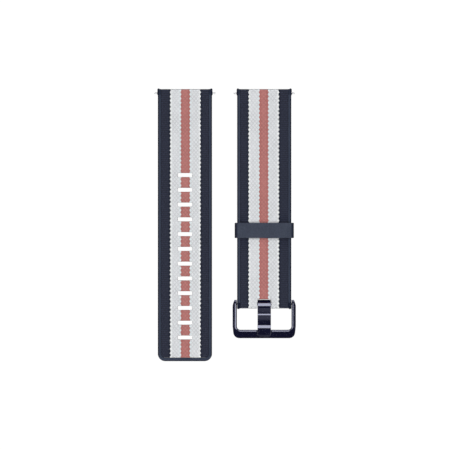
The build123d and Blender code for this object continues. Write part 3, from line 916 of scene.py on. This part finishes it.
def tang_ring(x, half_width, bar_y, centre_x):
    """Closed side outline of the tang at one place across it."""
    from_side = half_width - abs(x)
    drop = TANG_EDGE - math.sqrt(max(0.0, TANG_EDGE ** 2 - max(0.0, TANG_EDGE - from_side) ** 2))
    into_corner = max(0.0, TANG_CORNER - from_side)
    back = TANG_CORNER - math.sqrt(max(0.0, TANG_CORNER ** 2 - into_corner ** 2))

    def place(y):
        """Draw the last stretch of the tip back by the rounding of its corner."""
        return y + back * max(0.0, 1 - (y - TANG_TIP) / 2.2)

    top = tang_top()
    ring = [(place(y), z - drop) for y, z in top]
    under = [(y, max(z - TANG_THICKNESS, TANG_UNDERSIDE)) for y, z in reversed(top) if -13.1 < y < -1.5]
    ring += [(place(y), z + drop) for y, z in under]
    ring += arc((0.0, BAR_Z), TANG_BARREL_RADIUS - drop, 215, 344, 28)
    return [(centre_x + x, bar_y + y, z) for y, z in ring]


def buckle_tang(material):
    """Wide tang with a round barrel, an arched plate and a tip that lies in the frame's recess."""
    low, high = box_mm("buckle_tang")
    centre_x = (low.x + high.x) / 2
    half_width = (high.x - low.x) / 2
    bar_y = high.y - TANG_BARREL_RADIUS
    inset = [0.0, 0.03, 0.09, 0.16, 0.24, 0.4, 0.6, 0.85, 1.1, 1.6]
    left = [-half_width + d for d in inset]
    places = left + [0.0] + [-x for x in reversed(left)]
    rings = [tang_ring(x, half_width, bar_y, centre_x) for x in places]
    vertices, faces = loft(rings, False)
    piece = finish_mesh("tang_shell", vertices, faces, math.radians(35))
    cut_rod(piece, BAR_RADIUS + 0.05, low.x - 1, high.x + 1, bar_y, BAR_Z)
    piece.data.materials.append(material)
    ride_and_replace(piece, "tang", "buckle_tang")


def keeper(material):
    """Loop swept round the strap, with softened edges."""
    low, high = box_mm("keeper_loop")
    centre_x, centre_z = (low.x + high.x) / 2, (low.z + high.z) / 2
    half_x, half_z = (high.x - low.x) / 2, (high.z - low.z) / 2
    y_middle, half_length = (low.y + high.y) / 2, (high.y - low.y) / 2
    e = KEEPER_EDGE
    section = arc((e, -half_length + e), e, 270, 180, 4) + arc((e, half_length - e), e, 180, 90, 4)
    inner = KEEPER_WALL - e
    section += arc((inner, half_length - e), e, 90, 0, 4) + arc((inner, -half_length + e), e, 0, -90, 4)
    corner_x, corner_z = half_x - KEEPER_CORNER, half_z - KEEPER_CORNER
    path = []
    for sign_x, sign_z, start in ((1, 1, 0), (-1, 1, 90), (-1, -1, 180), (1, -1, 270)):
        for i in range(9):
            angle = math.radians(start + 90 * i / 8)
            path.append((sign_x * corner_x, sign_z * corner_z, math.cos(angle), math.sin(angle)))
    rings = []
    for x, z, nx, nz in path:
        ring = []
        for depth, y in section:
            reach = KEEPER_CORNER - depth
            ring.append((centre_x + x + nx * reach, y_middle + y, centre_z + z + nz * reach))
        rings.append(ring)
    vertices, faces = loft(rings, True)
    piece = finish_mesh("keeper_band", vertices, faces)
    piece.data.materials.append(material)
    ride_and_replace(piece, "keeper", "keeper_loop")


# ---------------------------------------------------------------- springs


def make_coil_tree():
    """Geometry nodes for a coil spring along X: a wire swept round a helix."""
    inputs = {"Geometry": "NodeSocketGeometry", "Start": "NodeSocketVector", "Length": "NodeSocketFloat",
              "Turns": "NodeSocketFloat", "Coil Radius": "NodeSocketFloat", "Wire Radius": "NodeSocketFloat",
              "Material": "NodeSocketMaterial"}
    outputs = {"Geometry": "NodeSocketGeometry"}
    tree, given, result = new_group("coil_spring", "GeometryNodeTree", inputs, outputs)
    helix = tree.nodes.new("GeometryNodeCurveSpiral")
    helix.inputs["Resolution"].default_value = 14
    fill(tree, helix.inputs["Rotations"], given.outputs["Turns"])
    fill(tree, helix.inputs["Start Radius"], given.outputs["Coil Radius"])
    fill(tree, helix.inputs["End Radius"], given.outputs["Coil Radius"])
    fill(tree, helix.inputs["Height"], given.outputs["Length"])
    turn = tree.nodes.new("GeometryNodeTransform")
    fill(tree, turn.inputs["Geometry"], helix.outputs[0])
    fill(tree, turn.inputs["Translation"], given.outputs["Start"])
    turn.inputs["Rotation"].default_value = (0, math.radians(90), 0)
    wire = tree.nodes.new("GeometryNodeCurvePrimitiveCircle")
    wire.inputs["Resolution"].default_value = 6
    fill(tree, wire.inputs["Radius"], given.outputs["Wire Radius"])
    sweep = tree.nodes.new("GeometryNodeCurveToMesh")
    fill(tree, sweep.inputs["Curve"], turn.outputs[0])
    fill(tree, sweep.inputs["Profile Curve"], wire.outputs[0])
    sweep.inputs["Fill Caps"].default_value = True
    finish_tree(tree, sweep.outputs[0], given, result)
    return tree


def coil(name, node, body, x_low, x_high, wire, tree, material):
    """Coil spring between two places along X, as thick as the CAD sleeve that keeps its room."""
    low, high = box_mm(node)
    piece = bpy.data.objects.new(name, bpy.data.meshes.new(name))
    bpy.context.scene.collection.objects.link(piece)
    middle_y, middle_z = (low.y + high.y) / 2, (low.z + high.z) / 2
    length = x_high - x_low
    start = Vector((x_low, middle_y, middle_z)) * MM
    run_tree(piece, tree, start=start, length=length * MM, turns=float(round(length / COIL_PITCH)),
             coil_radius=((high.z - low.z) / 2 - wire / 2) * MM, wire_radius=wire / 2 * MM, material=material)
    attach(piece, body)
    return piece


def press(piece):
    """Give a coil its own copy of its mesh."""
    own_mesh(piece)


def pin_spring(node, strap, tree, material):
    """Coil behind the sliding tip of a quick-release pin; its other end rests on the tube's stop."""
    low, high = box_mm(node)
    x_low, x_high = low.x + PIN_WIRE / 2, high.x - PIN_WIRE / 2
    piece = coil(node + "_coil", node, strap, x_low, x_high, PIN_WIRE, tree, material)
    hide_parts(node)
    press(piece)


def bar_spring(tree, material):
    """Coil between the two sliding tips of the buckle bar, made in halves that meet in the middle."""
    node = "buckle_bar_spring"
    low, high = box_mm(node)
    middle = (low.x + high.x) / 2
    x_low, x_high = low.x + BAR_WIRE / 2, high.x - BAR_WIRE / 2
    left = coil(node + "_left_coil", node, "buckle_strap", x_low, middle, BAR_WIRE, tree, material)
    right = coil(node + "_right_coil", node, "buckle_strap", middle, x_high, BAR_WIRE, tree, material)
    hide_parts(node)
    press(left)
    press(right)


# ---------------------------------------------------------------- stage


def area_light(name, place, size, power):
    """Soft box that looks at the middle of the band."""
    data = bpy.data.lights.new(name, "AREA")
    data.shape = "RECTANGLE"
    data.size, data.size_y = size
    data.energy = power
    light = bpy.data.objects.new(name, data)
    light.location = place
    light.rotation_euler = (-Vector(place)).to_track_quat("-Z", "Y").to_euler()
    bpy.context.scene.collection.objects.link(light)
    return light


def floor_sheet():
    """Plain white floor that glows a little, like paper on a light table."""
    mesh = bpy.data.meshes.new("floor")
    corners = [(x * FLOOR_REACH, y * FLOOR_REACH, 0) for x, y in ((-1, -1), (1, -1), (1, 1), (-1, 1))]
    mesh.from_pydata(corners, [], [(0, 1, 2, 3)])
    floor = bpy.data.objects.new("floor", mesh)
    bpy.context.scene.collection.objects.link(floor)
    material = bpy.data.materials.new("floor_paper")
    material.use_nodes = True
    shader = material.node_tree.nodes["Principled BSDF"]
    shader.inputs["Base Color"].default_value = (FLOOR_SHADE, FLOOR_SHADE, FLOOR_SHADE, 1)
    shader.inputs["Roughness"].default_value = 1.0
    shader.inputs["Specular IOR Level"].default_value = 0.0
    shader.inputs["Emission Color"].default_value = (1, 1, 1, 1)
    shader.inputs["Emission Strength"].default_value = FLOOR_GLOW
    mesh.materials.append(material)


def studio():
    """Soft boxes and dim panels round the band, a sheet of light above, and a camera looking down."""
    scene = bpy.context.scene
    scene.view_settings.view_transform = "Standard"
    world = bpy.data.worlds.new("studio_air")
    world.use_nodes = True
    world.node_tree.nodes["Background"].inputs["Color"].default_value = (1, 1, 1, 1)
    world.node_tree.nodes["Background"].inputs["Strength"].default_value = AIR_STRENGTH
    scene.world = world
    for name, x, y in (("left", -1, 0), ("right", 1, 0), ("front", 0, -1), ("back", 0, 1)):
        box = area_light("soft_box_" + name, (x * BOX_REACH, y * BOX_REACH, BOX_HEIGHT), BOX_SIZE, BOX_POWER)
        box.visible_diffuse = False
    for name, y in (("front", -1), ("back", 1)):
        area_light("dim_panel_" + name, (0, y * PANEL_REACH, PANEL_HEIGHT), PANEL_SIZE, PANEL_POWER)
    sky = area_light("overhead_sheet", (0, 0, SKY_HEIGHT), (SKY_WIDTH, SKY_WIDTH), SKY_POWER)
    sky.visible_glossy = False
    floor_sheet()
    camera_data = bpy.data.cameras.new("camera")
    camera_data.lens = CAMERA_LENS
    camera_data.sensor_width = SENSOR_WIDTH
    camera_data.clip_end = 10
    camera = bpy.data.objects.new("camera", camera_data)
    distance = CAMERA_LENS * VIEW_WIDTH / SENSOR_WIDTH
    camera.location = Vector((0, VIEW_MIDDLE_Y, distance + STRAP_TOP)) * MM
    scene.collection.objects.link(camera)
    scene.camera = camera


def main():
    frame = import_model()
    weave, grain, wear = make_weave_group(), make_grain_group(), make_wear_group()
    keeper_low, keeper_high = box_mm("keeper_loop")
    # painted shade on the keeper's two narrow sides
    painted_shade = keeper_painted_shade((keeper_low.x + keeper_high.x) / 2, (keeper_high.x - keeper_low.x) / 2)
    loop = elastomer_material("keeper_elastomer", KEEPER_COLOURS, painted_shade, 0.3, 0.02, 0.6, grain, wear)
    metal = anodised_material("navy_anodised", grain, wear)
    steel = steel_material("satin_steel", SATIN_STEEL, 0.45, 0.5, grain, wear)
    wire = steel_material("spring_wire", SPRING_STEEL, 0.18, 1.0, grain, wear)
    nodes = frame["nodes"]
    for name, node in nodes.items():
        if name.endswith("backing"):
            low, high = box_mm(name)
            # painted shade on the tray's edges, sides and cheeks
            painted_shade = tray_painted_shade(low, high, CHEEK_LENGTH if name.startswith("buckle") else SHADED_EDGE_BAND)
            tray_name = name + "_elastomer"
            tray = elastomer_material(tray_name, TRAY_COLOURS, painted_shade, 0.25, 0.012, 0.48, grain, wear)
            node.data.materials[0] = tray
        elif "_pin_" in name or "_bar_" in name:
            node.data.materials[0] = steel
    relief = make_relief_tree()
    low, high = box_mm("hole_strap_webbing")
    slots = slot_outlines((low.x + high.x) / 2, high.y)
    webbing("hole_strap_weave", "hole_strap_webbing", "hole_strap", slots, INLAY_TIP_RADIUS, STRIPE_SHIFT,
            relief, weave, wear)
    low, high = box_mm("buckle_strap_webbing")
    notch_half_width, notch_depth = NOTCH_WIDTH / 2, BAR_INSET + TANG_BARREL_RADIUS + INLAY_GAP
    notch = ((low.x + high.x) / 2, low.y), notch_half_width, notch_depth, 0.01
    webbing("buckle_strap_weave", "buckle_strap_webbing", "buckle_strap", [notch], 0.0, -STRIPE_SHIFT,
            relief, weave, wear)
    buckle_frame(metal)
    buckle_tang(metal)
    keeper(loop)
    coil_tree = make_coil_tree()
    pin_spring("hole_strap_pin_spring", "hole_strap", coil_tree, wire)
    pin_spring("buckle_strap_pin_spring", "buckle_strap", coil_tree, wire)
    bar_spring(coil_tree, wire)
    studio()


main()
